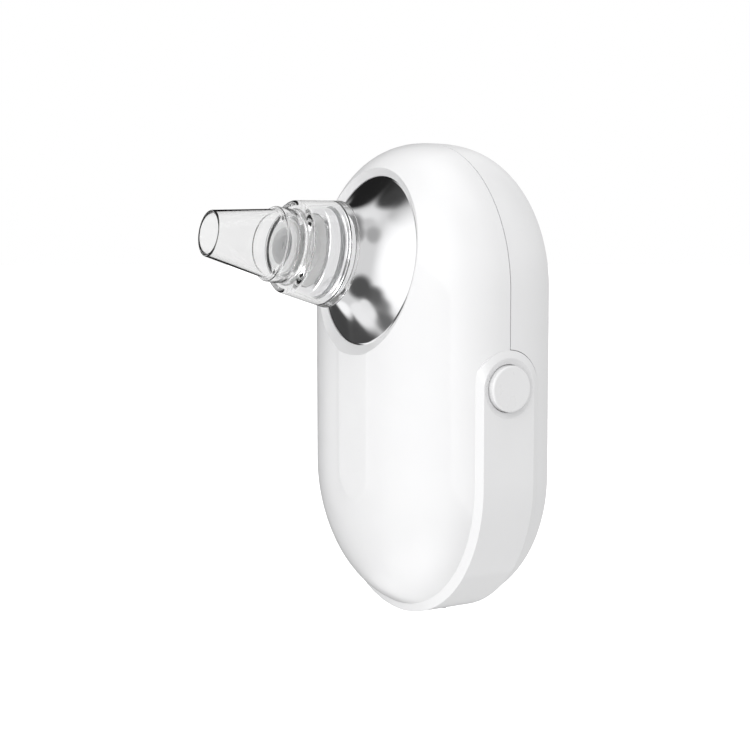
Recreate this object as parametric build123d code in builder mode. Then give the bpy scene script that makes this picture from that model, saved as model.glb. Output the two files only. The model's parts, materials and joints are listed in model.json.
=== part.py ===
from build123d import *
import math
import os

# Hand-held electric aspirator: a pebble-shaped body, a metal horn, a clear cup and a clear suction tip.
# Millimetres. The origin is the middle of the flat back. +Z runs up the body, the nozzle points to -Y,
# and +X is the side with the power button. "Depth" is the distance in front of the flat back.

# Body: an outline of two straight sides and two half circles, domed to the front and to the back.
BODY_HEIGHT = 104.0
BODY_HALF_WIDTH = 31.9
SPINE = BODY_HEIGHT / 2 - BODY_HALF_WIDTH
PARTING = 18.2
FRONT_DOME = 19.1
FRONT_EXPONENT = 2.36
REAR_DOME = 19.0
REAR_EXPONENT = 3.0
WALL = 1.8
SEAM_GAP = 0.1

# Raised U-shaped band: down one side from the power button, round the bottom, and up the other side.
BAND_DEPTH = PARTING + 0.4
BAND_CREST = BODY_HALF_WIDTH + 0.3
BAND_HALF_CREST = 6.45
BAND_HALF_FOOT = 7.95
BAND_DROP = 2.4
BAND_FRONT_RUN = 1.05
BAND_REAR_RUN = 4.4
BAND_TOP_RUN = 12.0
BAND_INNER = BODY_HALF_WIDTH - 1.1
BAND_ROOT = 3.0
BAND_GAP = 0.15

# Charging lamp beside the charging port, at the bottom of the band.
LAMP_X = 8.0
LAMP_RADIUS = 0.9

# Lip of the rear shell that stands inside the front shell.
LIP_OUTER = BODY_HALF_WIDTH - 1.2
LIP_INNER = BODY_HALF_WIDTH - 2.2
LIP_BOTTOM = PARTING - 8.0
LIP_TOP = PARTING + 2.0

# Buttons.
BUTTON_RADIUS = 4.9
BUTTON_PROUD = 1.0
BUTTON_CLEARANCE = 0.15
BUTTON_EDGE = 0.45
DISH_RADIUS = 6.3
DISH_DEPTH = 0.6
BUTTON_FLANGE_RADIUS = 5.5
BUTTON_FLANGE = 0.8
BUTTON_FLANGE_TOP = BODY_HALF_WIDTH - 3.35
BUTTON_STEM_RADIUS = 1.6
SWITCH_FACE = 26.4
PLUNGER_TOP = 27.0
SWITCH_DEPTH = 3.5
BOARD = 1.2

# Nozzle, along its own axis, which leaves the parting plane NOZZLE_HEIGHT above the middle and tilts up.
NOZZLE_HEIGHT = 23.95
NOZZLE_TILT = 8.7
TIP_END = 53.8
TIP_MOUTH_RADIUS = 4.8
TIP_WALL = 0.6
TIP_BASE_RADIUS = 7.35
STEP_FRONT = 39.5
STEP_RADIUS = 7.95
CUP_FRONT = 35.4
CUP_FRONT_RADIUS = 9.85
CUP_REAR = 24.3
CUP_REAR_RADIUS = 11.6
CUP_WALL = 1.2
CUP_REBATE = 1.7
SOCKET_RADIUS = 7.1
PLUG_RADIUS = 6.9
HORN_RIM = 14.8
HORN_RIM_RADIUS = 18.4
HORN_THROAT = 25.5
HORN_THROAT_RADIUS = 10.3
HORN_POWER = 2.2
NECK_RADIUS = 9.3
NECK_BORE = 7.8
NECK_END = 30.5
OPENING_RADIUS = 18.6
LIP_START = 14.9
LIP_REACH = 4.0
LIP_RISE = 2.1

# Pump: the motor's axis is upright; the rod works towards -X.
MOTOR_X = 5.0
MOTOR_DEPTH = 22.0
MOTOR_RADIUS = 11.0
MOTOR_BOTTOM = -36.0
MOTOR_TOP = -12.0
SHAFT_RADIUS = 1.0
THROW = 1.2
ROD_BOTTOM = -9.8
ROD_TOP = -6.2
ROD_LEVEL = (ROD_BOTTOM + ROD_TOP) / 2
DIAPHRAGM_FACE = -10.0
DIAPHRAGM_RADIUS = 8.8
HEAD_HALF = 9.6
HEAD_END = 10.2
HEAD_SCREW_OFFSET = 8.0
TUBE_OUTER = 3.0
TUBE_INNER = 2.0
PORT_X = -17.9

# Chassis, battery and boards.
CHASSIS_BACK = 8.8
CHASSIS_FRONT = 10.0
CASE_POSTS = [(22.5, 22.0), (-22.5, 22.0), (21.5, -26.0), (-21.5, -26.0)]
POST_RADIUS = 3.0
SCREW_RADIUS = 1.1
MAIN_BOARD_BACK = 12.0
CHARGE_BOARD_BACK = 15.7

# Fasteners.
SCREW_SEAT = 8.2
SCREW_HEAD_RADIUS = 1.9
BOARD_SCREWS = [(12.5, 40.5), (-12.5, 40.5)]
STRAP_SCREWS = [(-9.3, -30.0), (-9.3, -18.0)]
CHARGE_POSTS_X = (-6.5, 6.5)
CHARGE_POSTS_Z = -42.0

# Exhaust vents in the rear shell.
VENT_COUNT = 4
VENT_X = -17.0
VENT_Z = 8.5
VENT_PITCH = 3.0
VENT_RADIUS = 0.7

# Seals, seat, sponge and manifold of the nozzle.
FLANGE_BACK = 12.0
FLANGE_RADIUS = 19.6
HORN_WALL = 1.3
CUP_SEAL = 0.5
CUP_SEAL_AT = 27.4
CUP_SEAL_RADIUS = 9.15
TIP_SEAL = 0.4
TIP_SEAL_AT = 34.5
TIP_SEAL_RADIUS = 6.65
TIP_BORE_RADIUS = 6.0
RING_BORE_RADIUS = 7.1
SOCKET_BOTTOM = 33.2
MOUTH_LAND = 1.5
SEAT_BORE = 4.0
SEAT_END = 36.6
SEAT_FLANGE_RADIUS = 5.7
SEAT_FLANGE = 0.9
MANIFOLD_RADIUS = 7.7
MANIFOLD_FLOOR = 7.0
MANIFOLD_END = 29.4

# Air tubes.
SUCTION_DEPTH = 29.0
SUCTION_TOP = 10.0
SUCTION_PORT_DEPTH = 25.2
EXHAUST_PORT_DEPTH = 18.2
TUBE_LEVEL = 7.2
TUBE_BEND = 3.2
NIPPLE_TOP = 4.0
MUFFLER_BOTTOM = 9.0

# Charging port and lamp.
PORT_MOUTH = -51.6
LAMP_OUTSIDE = -51.2
BATTERY_BACK = 2.6

# Wires, each with the radius of its bends.
WIRE_RADIUS = 0.4
BATTERY_WIRES = [
    ([(-3, -5.5, 18.6), (-3, -5.5, 21.0), (-3, -11.2, 21.0)], 1.8),
    ([(3, -5.5, 18.6), (3, -5.5, 21.0), (3, -11.2, 21.0)], 1.8),
]
MOTOR_WIRES = [
    (
        [
            (13.0, -17.0, -38.0),
            (13.0, -17.0, -41.0),
            (17.95, -14.6, -41.0),
            (17.95, -14.6, 12.2),
            (12.6, -14.6, 12.2),
        ],
        1.2,
    ),
    (
        [
            (14.5, -19.5, -38.0),
            (14.5, -19.5, -39.8),
            (17.95, -16.2, -39.8),
            (17.95, -16.2, 13.6),
            (12.6, -14.9, 13.6),
        ],
        0.9,
    ),
]

AXIS_DIRECTION = Vector(0, -math.cos(math.radians(NOZZLE_TILT)), math.sin(math.radians(NOZZLE_TILT)))
NOZZLE_ORIGIN = Vector(0, -PARTING, NOZZLE_HEIGHT)
NOZZLE_AXIS = Axis(NOZZLE_ORIGIN, AXIS_DIRECTION)
NOZZLE_SECTION = Plane(
    origin=NOZZLE_ORIGIN, x_dir=(1, 0, 0), z_dir=Vector(1, 0, 0).cross(AXIS_DIRECTION)
)


def save(piece, label):
    piece.part.label = label
    export_step(piece.part, f"parts/{label}.step")


def facing_front(depth):
    """Plane parallel to the flat back, this far in front of it; its normal points forward."""
    return Plane.XZ.offset(depth)


def facing_right(x):
    """Plane square to X; its local x runs backward (+Y) and its local y runs up."""
    return Plane.YZ.offset(x)


def dome_curve(half_width, depth, exponent, forward):
    """Points of a quarter superellipse, from the parting plane to the crown, as (x, y)."""
    steps = 10
    points = []
    for step in range(steps + 1):
        angle = math.pi / 2 * step / steps
        x = half_width * math.cos(angle) ** (2 / exponent)
        y = depth * math.sin(angle) ** (2 / exponent)
        points.append((x if step < steps else 0, -PARTING - forward * y))
    return points


def half_pebble(half_width, depth, exponent, forward, mode=Mode.ADD):
    """One domed half of the body: a straight middle and two turned ends."""
    crown = dome_curve(half_width, depth, exponent, forward)
    with BuildSketch(Plane.XY.offset(-SPINE)) as middle:
        with BuildLine():
            dome_outline(crown, forward)
        make_face()
        mirror(about=Plane.YZ)
    extrude(middle.sketch, amount=2 * SPINE, mode=mode)
    for end, arc in ((SPINE, 180), (-SPINE, -180)):
        with BuildSketch(Plane.XY.offset(end)) as quarter:
            with BuildLine():
                dome_outline(crown, forward)
            make_face()
        revolve(
            quarter.sketch,
            axis=Axis((0, 0, end), (0, 1, 0)),
            revolution_arc=-arc,
            mode=mode,
        )


def dome_outline(crown, forward):
    """Closed outline of half of the dome's cross-section, on the +X side."""
    Spline(*crown, tangents=[(0, -forward), (-1, 0)])
    Line(crown[-1], (0, -PARTING))
    Line((0, -PARTING), crown[0])


def stadium_slab(half_width, low, high, mode=Mode.ADD):
    """Slab with the body's outline at this half width, from one depth to another."""
    with BuildSketch(facing_front(low)) as outline:
        SlotCenterToCenter(2 * SPINE, 2 * half_width, rotation=90)
    extrude(outline.sketch, amount=high - low, mode=mode)


def turned(points, mode=Mode.ADD):
    """Solid turned about the nozzle axis from a closed outline of (radius, distance) points."""
    with BuildSketch(NOZZLE_SECTION) as section:
        with BuildLine():
            Polyline(*points, close=True)
        make_face()
    revolve(section.sketch, axis=NOZZLE_AXIS, mode=mode)


def ring_around_nozzle(radius, distance, thickness):
    """Round seal of circular section about the nozzle axis."""
    with BuildSketch(NOZZLE_SECTION) as section:
        with Locations((radius, distance)):
            Circle(thickness)
    revolve(section.sketch, axis=NOZZLE_AXIS)


def disc(centre_x, centre_depth, low, high, radius, mode=Mode.ADD):
    """Upright cylinder between two heights."""
    with BuildSketch(Plane.XY.offset(low)) as circle:
        with Locations((centre_x, -centre_depth)):
            Circle(radius)
    extrude(circle.sketch, amount=high - low, mode=mode)


def post(x, z, low, high, radius, mode=Mode.ADD):
    """Cylinder that stands forward from one depth to another."""
    with BuildSketch(facing_front(low)) as circle:
        with Locations((x, z)):
            Circle(radius)
    extrude(circle.sketch, amount=high - low, mode=mode)


def stub(side, low, high, radius, depth=BAND_DEPTH, height=0.0, mode=Mode.ADD):
    """Cylinder along X between two distances from the middle, on the side given by +1 or -1."""
    with BuildSketch(facing_right(side * low)) as circle:
        with Locations((-depth, height)):
            Circle(radius)
    extrude(circle.sketch, amount=side * (high - low), mode=mode)


def block(x_range, depth_range, z_range, mode=Mode.ADD):
    """Box between two values of x, of depth and of z."""
    with BuildSketch(facing_front(depth_range[0])) as rectangle:
        with Locations(((x_range[0] + x_range[1]) / 2, (z_range[0] + z_range[1]) / 2)):
            Rectangle(x_range[1] - x_range[0], z_range[1] - z_range[0])
    extrude(rectangle.sketch, amount=depth_range[1] - depth_range[0], mode=mode)


# ---------------------------------------------------------------- band


def band_profile():
    """Cross-section of the band as (distance from the middle, depth) points."""
    base = BAND_CREST - BAND_DROP
    front = BAND_DEPTH + BAND_HALF_CREST
    rear = BAND_DEPTH - BAND_HALF_CREST
    rear_drop = BAND_DROP * (BAND_HALF_FOOT - BAND_HALF_CREST) / BAND_REAR_RUN
    return [
        (BAND_INNER, rear - (BAND_HALF_FOOT - BAND_HALF_CREST)),
        (BAND_CREST - rear_drop, rear - (BAND_HALF_FOOT - BAND_HALF_CREST)),
        (BAND_CREST, rear),
        (BAND_CREST, front),
        (base, front + BAND_FRONT_RUN),
        (base, PARTING + BAND_ROOT),
        (BAND_INNER, PARTING + BAND_ROOT),
    ]


def band_sides_and_bottom():
    """Straight flanks of the band below the buttons, and its round bottom."""
    for side in (1, -1):
        with BuildSketch(Plane.XY.offset(-SPINE)) as flank:
            with BuildLine():
                Polyline(*[(side * x, -d) for x, d in band_profile()], close=True)
            make_face()
        extrude(flank.sketch, amount=SPINE)
    with BuildSketch(Plane.XY.offset(-SPINE)) as section:
        with BuildLine():
            Polyline(*[(x, -d) for x, d in band_profile()], close=True)
        make_face()
    revolve(section.sketch, axis=Axis((0, 0, -SPINE), (0, 1, 0)), revolution_arc=180)


def band_arch(side):
    """Round end of the band about a button; its slope is steep in front and gentle behind."""
    with BuildPart() as arch:
        with BuildSketch(facing_right(side * BAND_CREST)) as crest:
            with BuildLine():
                quarter_rings(BAND_HALF_CREST, BAND_HALF_CREST, BAND_HALF_CREST)
            make_face()
        with BuildSketch(facing_right(side * (BAND_CREST - BAND_DROP))) as foot:
            with BuildLine():
                quarter_rings(
                    BAND_HALF_CREST + BAND_FRONT_RUN,
                    BAND_HALF_CREST + BAND_REAR_RUN,
                    BAND_HALF_CREST + BAND_TOP_RUN,
                )
            make_face()
        loft([foot.sketch.face(), crest.sketch.face()], ruled=True)
        with BuildSketch(facing_right(side * (BAND_CREST - BAND_DROP))) as footprint:
            with Locations((-BAND_DEPTH, 0)):
                Circle(BAND_HALF_FOOT)
        extrude(footprint.sketch, amount=side * BAND_DROP, mode=Mode.INTERSECT)
        with BuildSketch(facing_right(side * (BAND_CREST - BAND_DROP))) as lip_space:
            with Locations((-PARTING - BAND_ROOT, 0)):
                Rectangle(4 * BAND_HALF_FOOT, 4 * BAND_HALF_FOOT, align=(Align.MIN, Align.CENTER))
        extrude(
            lip_space.sketch,
            amount=side * (BAND_INNER - BAND_CREST + BAND_DROP),
            mode=Mode.SUBTRACT,
        )
    return arch.part


def quarter_rings(front, rear, top):
    """Upper half of an oval about the button: quarters with different reach to front, rear and top."""
    EllipticalCenterArc((-BAND_DEPTH, 0), rear, top, start_angle=0, arc_size=90)
    EllipticalCenterArc((-BAND_DEPTH, 0), front, top, start_angle=90, arc_size=90)
    Line((-BAND_DEPTH - front, 0), (-BAND_DEPTH, 0))
    Line((-BAND_DEPTH, 0), (-BAND_DEPTH + rear, 0))


def band_notch(mode):
    """Space that the band takes out of the rear shell, with a thin gap all round."""
    reach = BAND_HALF_FOOT + BAND_GAP
    for side in (1, -1):
        stub(side, LIP_OUTER, BAND_CREST + 1, reach, mode=mode)
        with BuildSketch(Plane.XY.offset(-SPINE)) as flank:
            with Locations((side * (LIP_OUTER + BAND_CREST + 1) / 2, -BAND_DEPTH)):
                Rectangle(BAND_CREST + 1 - LIP_OUTER, 2 * reach)
        extrude(flank.sketch, amount=SPINE, mode=mode)
    with BuildSketch(Plane.XY.offset(-SPINE)) as section:
        with Locations(((LIP_OUTER + BAND_CREST + 1) / 2, -BAND_DEPTH)):
            Rectangle(BAND_CREST + 1 - LIP_OUTER, 2 * reach)
    revolve(
        section.sketch, axis=Axis((0, 0, -SPINE), (0, 1, 0)), revolution_arc=180, mode=mode
    )


def button_dish(side):
    """Shallow hollow ring in the band about a button."""
    with BuildSketch(Plane.XY) as section:
        with BuildLine():
            rim = (side * BAND_CREST, -BAND_DEPTH + DISH_RADIUS)
            floor = (side * (BAND_CREST - DISH_DEPTH), -BAND_DEPTH + BUTTON_RADIUS)
            bow = (
                side * (BAND_CREST - 0.68 * DISH_DEPTH),
                -BAND_DEPTH + 0.42 * DISH_RADIUS + 0.58 * BUTTON_RADIUS,
            )
            ThreePointArc(rim, bow, floor)
            Polyline(
                floor,
                (side * (BAND_CREST - DISH_DEPTH), -BAND_DEPTH),
                (side * (BAND_CREST + 1), -BAND_DEPTH),
                (side * (BAND_CREST + 1), -BAND_DEPTH + DISH_RADIUS),
                rim,
            )
        make_face()
    revolve(section.sketch, axis=Axis((0, -BAND_DEPTH, 0), (1, 0, 0)), mode=Mode.SUBTRACT)


def port_slot(mode):
    """Opening for the charging port at the bottom of the band."""
    with BuildSketch(Plane.XY.offset(-BODY_HEIGHT / 2 - 1)) as slot:
        with Locations((0, -BAND_DEPTH)):
            SlotOverall(9.5, 3.8)
    extrude(slot.sketch, amount=4.5, mode=mode)
    disc(LAMP_X, BAND_DEPTH, -BODY_HEIGHT / 2 - 1, -48.0, LAMP_RADIUS, mode=mode)


# ---------------------------------------------------------------- casing


def make_front_shell():
    arches = [band_arch(side) for side in (1, -1)]
    with BuildPart() as front_shell:
        half_pebble(BODY_HALF_WIDTH, FRONT_DOME, FRONT_EXPONENT, 1)
        half_pebble(
            BODY_HALF_WIDTH - WALL, FRONT_DOME - WALL, FRONT_EXPONENT, 1, mode=Mode.SUBTRACT
        )
        stadium_slab(BODY_HALF_WIDTH + 1, PARTING - 1, PARTING + SEAM_GAP, mode=Mode.SUBTRACT)
        stadium_slab(BAND_INNER, PARTING, LIP_TOP + 0.2, mode=Mode.SUBTRACT)
        band_sides_and_bottom()
        add(arches)
        for x, z in CASE_POSTS:
            post(x, z, PARTING + 0.2, PARTING + 11.5, POST_RADIUS)
        for x, z in CASE_POSTS:
            post(x, z, PARTING, PARTING + 7.0, SCREW_RADIUS, mode=Mode.SUBTRACT)
        with BuildSketch(NOZZLE_SECTION) as opening:
            with BuildLine():
                Polyline(
                    (0, 6),
                    (OPENING_RADIUS, 6),
                    (OPENING_RADIUS, LIP_START),
                    (OPENING_RADIUS + LIP_REACH, LIP_START + LIP_RISE),
                    (OPENING_RADIUS + LIP_REACH, LIP_START + 20),
                    (0, LIP_START + 20),
                    close=True,
                )
            make_face()
        revolve(opening.sketch, axis=NOZZLE_AXIS, mode=Mode.SUBTRACT)
        for side in (1, -1):
            stub(side, 20, 40, BUTTON_RADIUS + BUTTON_CLEARANCE, mode=Mode.SUBTRACT)
            button_dish(side)
        port_slot(Mode.SUBTRACT)
    save(front_shell, "front_shell")


def make_rear_shell():
    with BuildPart() as rear_shell:
        half_pebble(BODY_HALF_WIDTH, REAR_DOME, REAR_EXPONENT, -1)
        half_pebble(
            BODY_HALF_WIDTH - WALL, REAR_DOME - WALL - 0.8, REAR_EXPONENT, -1, mode=Mode.SUBTRACT
        )
        stadium_slab(BODY_HALF_WIDTH + 1, -2, 0, mode=Mode.SUBTRACT)
        stadium_slab(BODY_HALF_WIDTH + 1, PARTING - SEAM_GAP, PARTING + 1, mode=Mode.SUBTRACT)
        stadium_slab(LIP_OUTER, LIP_BOTTOM, LIP_TOP)
        stadium_slab(LIP_INNER, LIP_BOTTOM - 1, LIP_TOP, mode=Mode.SUBTRACT)
        band_notch(Mode.SUBTRACT)
        for x, z in CASE_POSTS:
            post(x, z, 5.0, PARTING, POST_RADIUS)
        for x, z in CASE_POSTS:
            post(x, z, -1, SCREW_SEAT, SCREW_HEAD_RADIUS + 0.3, mode=Mode.SUBTRACT)
            post(x, z, 0, PARTING + 1, SCREW_RADIUS, mode=Mode.SUBTRACT)
        for x in CHARGE_POSTS_X:
            post(x, CHARGE_POSTS_Z, 2.5, CHARGE_BOARD_BACK, 1.5)
            post(x, CHARGE_POSTS_Z, CHARGE_BOARD_BACK - 4, CHARGE_BOARD_BACK + 1, 0.7, mode=Mode.SUBTRACT)
        for side in (1, -1):
            stub(side, 20, 40, BUTTON_RADIUS + BUTTON_CLEARANCE, mode=Mode.SUBTRACT)
        for row in range(VENT_COUNT):
            post(VENT_X, VENT_Z + VENT_PITCH * row, -1, 8, VENT_RADIUS, mode=Mode.SUBTRACT)
        port_slot(Mode.SUBTRACT)
    save(rear_shell, "rear_shell")


def make_case_screws():
    with BuildPart() as case_screws:
        for x, z in CASE_POSTS:
            post(x, z, SCREW_SEAT - 1.4, SCREW_SEAT, SCREW_HEAD_RADIUS)
            post(x, z, SCREW_SEAT, PARTING + 5.5, SCREW_RADIUS)
            post(x, z, SCREW_SEAT - 1.5, SCREW_SEAT - 0.7, 0.6, mode=Mode.SUBTRACT)
    save(case_screws, "case_screws")


def make_screw_plugs():
    with BuildPart() as screw_plugs:
        for x, z in CASE_POSTS:
            post(x, z, SCREW_SEAT - 2.8, SCREW_SEAT - 1.5, SCREW_HEAD_RADIUS + 0.25)
    save(screw_plugs, "screw_plugs")


# ---------------------------------------------------------------- buttons


def make_button(side, label):
    """Round cap with a bevelled edge, a stop flange inside the casing and a stem to the switch."""
    face = BAND_CREST + BUTTON_PROUD
    with BuildPart() as button:
        stub(side, BUTTON_FLANGE_TOP, face, BUTTON_RADIUS)
        rim = button.edges().filter_by(GeomType.CIRCLE).sort_by(Axis.X)[-1 if side > 0 else 0]
        fillet(rim, radius=BUTTON_EDGE)
        stub(side, BUTTON_FLANGE_TOP - BUTTON_FLANGE, BUTTON_FLANGE_TOP, BUTTON_FLANGE_RADIUS)
        stub(side, PLUNGER_TOP, BUTTON_FLANGE_TOP - BUTTON_FLANGE, BUTTON_STEM_RADIUS)
    save(button, label)


def make_button_boot(side, label):
    """Silicone dust seal round the stem."""
    with BuildPart() as boot:
        stub(side, SWITCH_FACE, SWITCH_FACE + 0.4, 4.6)
        stub(side, SWITCH_FACE + 0.4, SWITCH_FACE + 0.7, 3.4)
        stub(side, SWITCH_FACE, SWITCH_FACE + 2, BUTTON_STEM_RADIUS + 0.3, mode=Mode.SUBTRACT)
    save(boot, label)


def make_switch(side, label):
    """Small tactile switch with the bore for its plunger."""
    with BuildPart() as switch:
        block(
            sorted((side * (SWITCH_FACE - SWITCH_DEPTH), side * SWITCH_FACE)),
            (BAND_DEPTH - 3, BAND_DEPTH + 3),
            (-3, 3),
        )
        stub(side, SWITCH_FACE - 1.6, SWITCH_FACE + 1, 1.65, mode=Mode.SUBTRACT)
    save(switch, label)


def make_switch_plunger(side, label):
    with BuildPart() as plunger:
        stub(side, SWITCH_FACE - 0.8, PLUNGER_TOP, 1.6)
    save(plunger, label)


def make_switch_board(side, label):
    inner = SWITCH_FACE - SWITCH_DEPTH - BOARD
    with BuildPart() as board:
        block(
            sorted((side * inner, side * (inner + BOARD))),
            (CHASSIS_FRONT + 2, BAND_DEPTH + 7),
            (-7, 7),
        )
    save(board, label)


# ---------------------------------------------------------------- nozzle


def flare(distance):
    """Radius of the horn's visible face at this distance along the nozzle."""
    share = (HORN_THROAT - distance) / (HORN_THROAT - HORN_RIM)
    return HORN_THROAT_RADIUS + (HORN_RIM_RADIUS - HORN_THROAT_RADIUS) * share**HORN_POWER


def make_nozzle_horn():
    steps = 7
    fronts = [HORN_RIM + (HORN_THROAT - HORN_RIM) * step / steps for step in range(steps + 1)]
    visible = [(flare(t), t) for t in fronts]
    hidden = [(flare(t) - 0.9, t - HORN_WALL) for t in fronts]
    with BuildPart() as horn:
        with BuildSketch(NOZZLE_SECTION):
            with BuildLine():
                Spline(*visible, tangents=[(-1, 0.62), (0, 1)])
                Polyline(
                    visible[-1],
                    (NECK_RADIUS + 0.6, HORN_THROAT + 0.6),
                    (NECK_RADIUS, HORN_THROAT + 0.9),
                    (NECK_RADIUS, CUP_SEAL_AT - CUP_SEAL - 0.05),
                    (CUP_SEAL_RADIUS - CUP_SEAL, CUP_SEAL_AT - CUP_SEAL - 0.05),
                    (CUP_SEAL_RADIUS - CUP_SEAL, CUP_SEAL_AT + CUP_SEAL + 0.05),
                    (NECK_RADIUS, CUP_SEAL_AT + CUP_SEAL + 0.05),
                    (NECK_RADIUS, NECK_END - 0.3),
                    (NECK_RADIUS - 0.3, NECK_END),
                    (NECK_BORE, NECK_END),
                    (NECK_BORE, hidden[-1][1]),
                    hidden[-1],
                )
                Spline(*reversed(hidden), tangents=[(0, -1), (1, -0.62)])
                Polyline(
                    hidden[0],
                    (hidden[0][0], FLANGE_BACK),
                    (FLANGE_RADIUS, FLANGE_BACK),
                    (FLANGE_RADIUS, FLANGE_BACK + 1.0),
                    (HORN_RIM_RADIUS, FLANGE_BACK + 1.0),
                    visible[0],
                )
            make_face()
        revolve(axis=NOZZLE_AXIS)
    save(horn, "nozzle_horn")


def make_horn_gasket():
    with BuildPart() as gasket:
        turned(
            [
                (OPENING_RADIUS + 0.1, FLANGE_BACK + 1.0),
                (FLANGE_RADIUS, FLANGE_BACK + 1.0),
                (FLANGE_RADIUS, FLANGE_BACK + 1.3),
                (OPENING_RADIUS + 0.1, FLANGE_BACK + 1.3),
            ]
        )
    save(gasket, "horn_gasket")


def make_collection_cup():
    slope = (CUP_REAR_RADIUS - CUP_FRONT_RADIUS) / (CUP_FRONT - CUP_REAR)

    def wall(distance):
        return CUP_REAR_RADIUS - slope * (distance - CUP_REAR)

    with BuildPart() as cup:
        turned(
            [
                (CUP_REAR_RADIUS - 0.2, CUP_REAR),
                (CUP_REAR_RADIUS, CUP_REAR + 0.2),
                (wall(CUP_FRONT - 0.9), CUP_FRONT - 0.9),
                (wall(CUP_FRONT - 0.6) - 0.15, CUP_FRONT - 0.35),
                (wall(CUP_FRONT) - 0.55, CUP_FRONT - 0.08),
                (wall(CUP_FRONT) - 0.9, CUP_FRONT),
                (SOCKET_RADIUS, CUP_FRONT),
                (SOCKET_RADIUS, SOCKET_BOTTOM),
                (SOCKET_RADIUS + 0.9, SOCKET_BOTTOM),
                (SOCKET_RADIUS + 0.9, CUP_FRONT - 1.5),
                (wall(CUP_FRONT - 1.5) - CUP_WALL, CUP_FRONT - 1.5),
                (wall(CUP_REAR + CUP_REBATE) - CUP_WALL, CUP_REAR + CUP_REBATE),
                (CUP_REAR_RADIUS - 0.8, CUP_REAR + CUP_REBATE),
                (CUP_REAR_RADIUS - 0.8, CUP_REAR),
            ]
        )
    save(cup, "collection_cup")


def make_cup_seal():
    with BuildPart() as seal:
        ring_around_nozzle(CUP_SEAL_RADIUS, CUP_SEAL_AT, CUP_SEAL)
    save(seal, "cup_seal")


def make_suction_tip():
    with BuildPart() as tip:
        turned(
            [
                (TIP_MOUTH_RADIUS - TIP_WALL, TIP_END - MOUTH_LAND),
                (TIP_MOUTH_RADIUS - TIP_WALL, TIP_END - 0.15),
                (TIP_MOUTH_RADIUS - TIP_WALL + 0.15, TIP_END),
                (TIP_MOUTH_RADIUS - 0.15, TIP_END),
                (TIP_MOUTH_RADIUS, TIP_END - 0.15),
                (TIP_BASE_RADIUS, STEP_FRONT),
                (STEP_RADIUS - 0.2, STEP_FRONT),
                (STEP_RADIUS, STEP_FRONT - 0.2),
                (STEP_RADIUS, CUP_FRONT + 0.05),
                (PLUG_RADIUS, CUP_FRONT + 0.05),
                (PLUG_RADIUS, TIP_SEAL_AT + TIP_SEAL + 0.05),
                (TIP_SEAL_RADIUS - TIP_SEAL, TIP_SEAL_AT + TIP_SEAL + 0.05),
                (TIP_SEAL_RADIUS - TIP_SEAL, TIP_SEAL_AT - TIP_SEAL - 0.05),
                (PLUG_RADIUS, TIP_SEAL_AT - TIP_SEAL - 0.05),
                (PLUG_RADIUS, SOCKET_BOTTOM + 0.3),
                (TIP_BORE_RADIUS, SOCKET_BOTTOM + 0.3),
                (TIP_BORE_RADIUS, CUP_FRONT + 0.6),
                (RING_BORE_RADIUS, CUP_FRONT + 1.1),
                (RING_BORE_RADIUS, STEP_FRONT - 0.8),
                (TIP_BASE_RADIUS - TIP_WALL - 0.1, STEP_FRONT + 0.3),
            ]
        )
    save(tip, "suction_tip")


def make_tip_seal():
    with BuildPart() as seal:
        ring_around_nozzle(TIP_SEAL_RADIUS, TIP_SEAL_AT, TIP_SEAL)
    save(seal, "tip_seal")


def make_filter_seat():
    with BuildPart() as seat:
        turned(
            [
                (SEAT_BORE, MANIFOLD_END),
                (NECK_BORE - 0.1, MANIFOLD_END),
                (NECK_BORE - 0.1, MANIFOLD_END + 1.0),
                (SEAT_BORE + 1.0, MANIFOLD_END + 1.0),
                (SEAT_BORE + 1.0, SEAT_END - SEAT_FLANGE),
                (SEAT_FLANGE_RADIUS, SEAT_END - SEAT_FLANGE),
                (SEAT_FLANGE_RADIUS, SEAT_END - 0.3),
                (SEAT_FLANGE_RADIUS - 0.3, SEAT_END),
                (SEAT_BORE, SEAT_END),
            ]
        )
    save(seat, "filter_seat")


def make_filter_sponge():
    with BuildPart() as sponge:
        turned(
            [
                (0, MANIFOLD_END + 0.3),
                (SEAT_BORE - 0.05, MANIFOLD_END + 0.3),
                (SEAT_BORE - 0.05, MANIFOLD_END + 4.8),
                (0, MANIFOLD_END + 4.8),
            ]
        )
    save(sponge, "filter_sponge")


def make_suction_manifold():
    """Cup behind the horn that leads the air down to the pump."""
    with BuildPart() as manifold:
        turned(
            [
                (0, MANIFOLD_FLOOR),
                (MANIFOLD_RADIUS, MANIFOLD_FLOOR),
                (MANIFOLD_RADIUS, MANIFOLD_END),
                (MANIFOLD_RADIUS - 1.1, MANIFOLD_END),
                (MANIFOLD_RADIUS - 1.1, MANIFOLD_FLOOR + 1.4),
                (0, MANIFOLD_FLOOR + 1.4),
            ]
        )
        disc(0, SUCTION_DEPTH, SUCTION_TOP, NOZZLE_HEIGHT - 2, TUBE_INNER)
        turned(
            [
                (0, MANIFOLD_FLOOR + 1.4),
                (MANIFOLD_RADIUS - 1.1, MANIFOLD_FLOOR + 1.4),
                (MANIFOLD_RADIUS - 1.1, MANIFOLD_END),
                (0, MANIFOLD_END),
            ],
            mode=Mode.SUBTRACT,
        )
        disc(0, SUCTION_DEPTH, SUCTION_TOP - 1, NOZZLE_HEIGHT - 3, 1.1, mode=Mode.SUBTRACT)
    save(manifold, "suction_manifold")


# ---------------------------------------------------------------- chassis and electrics


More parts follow.
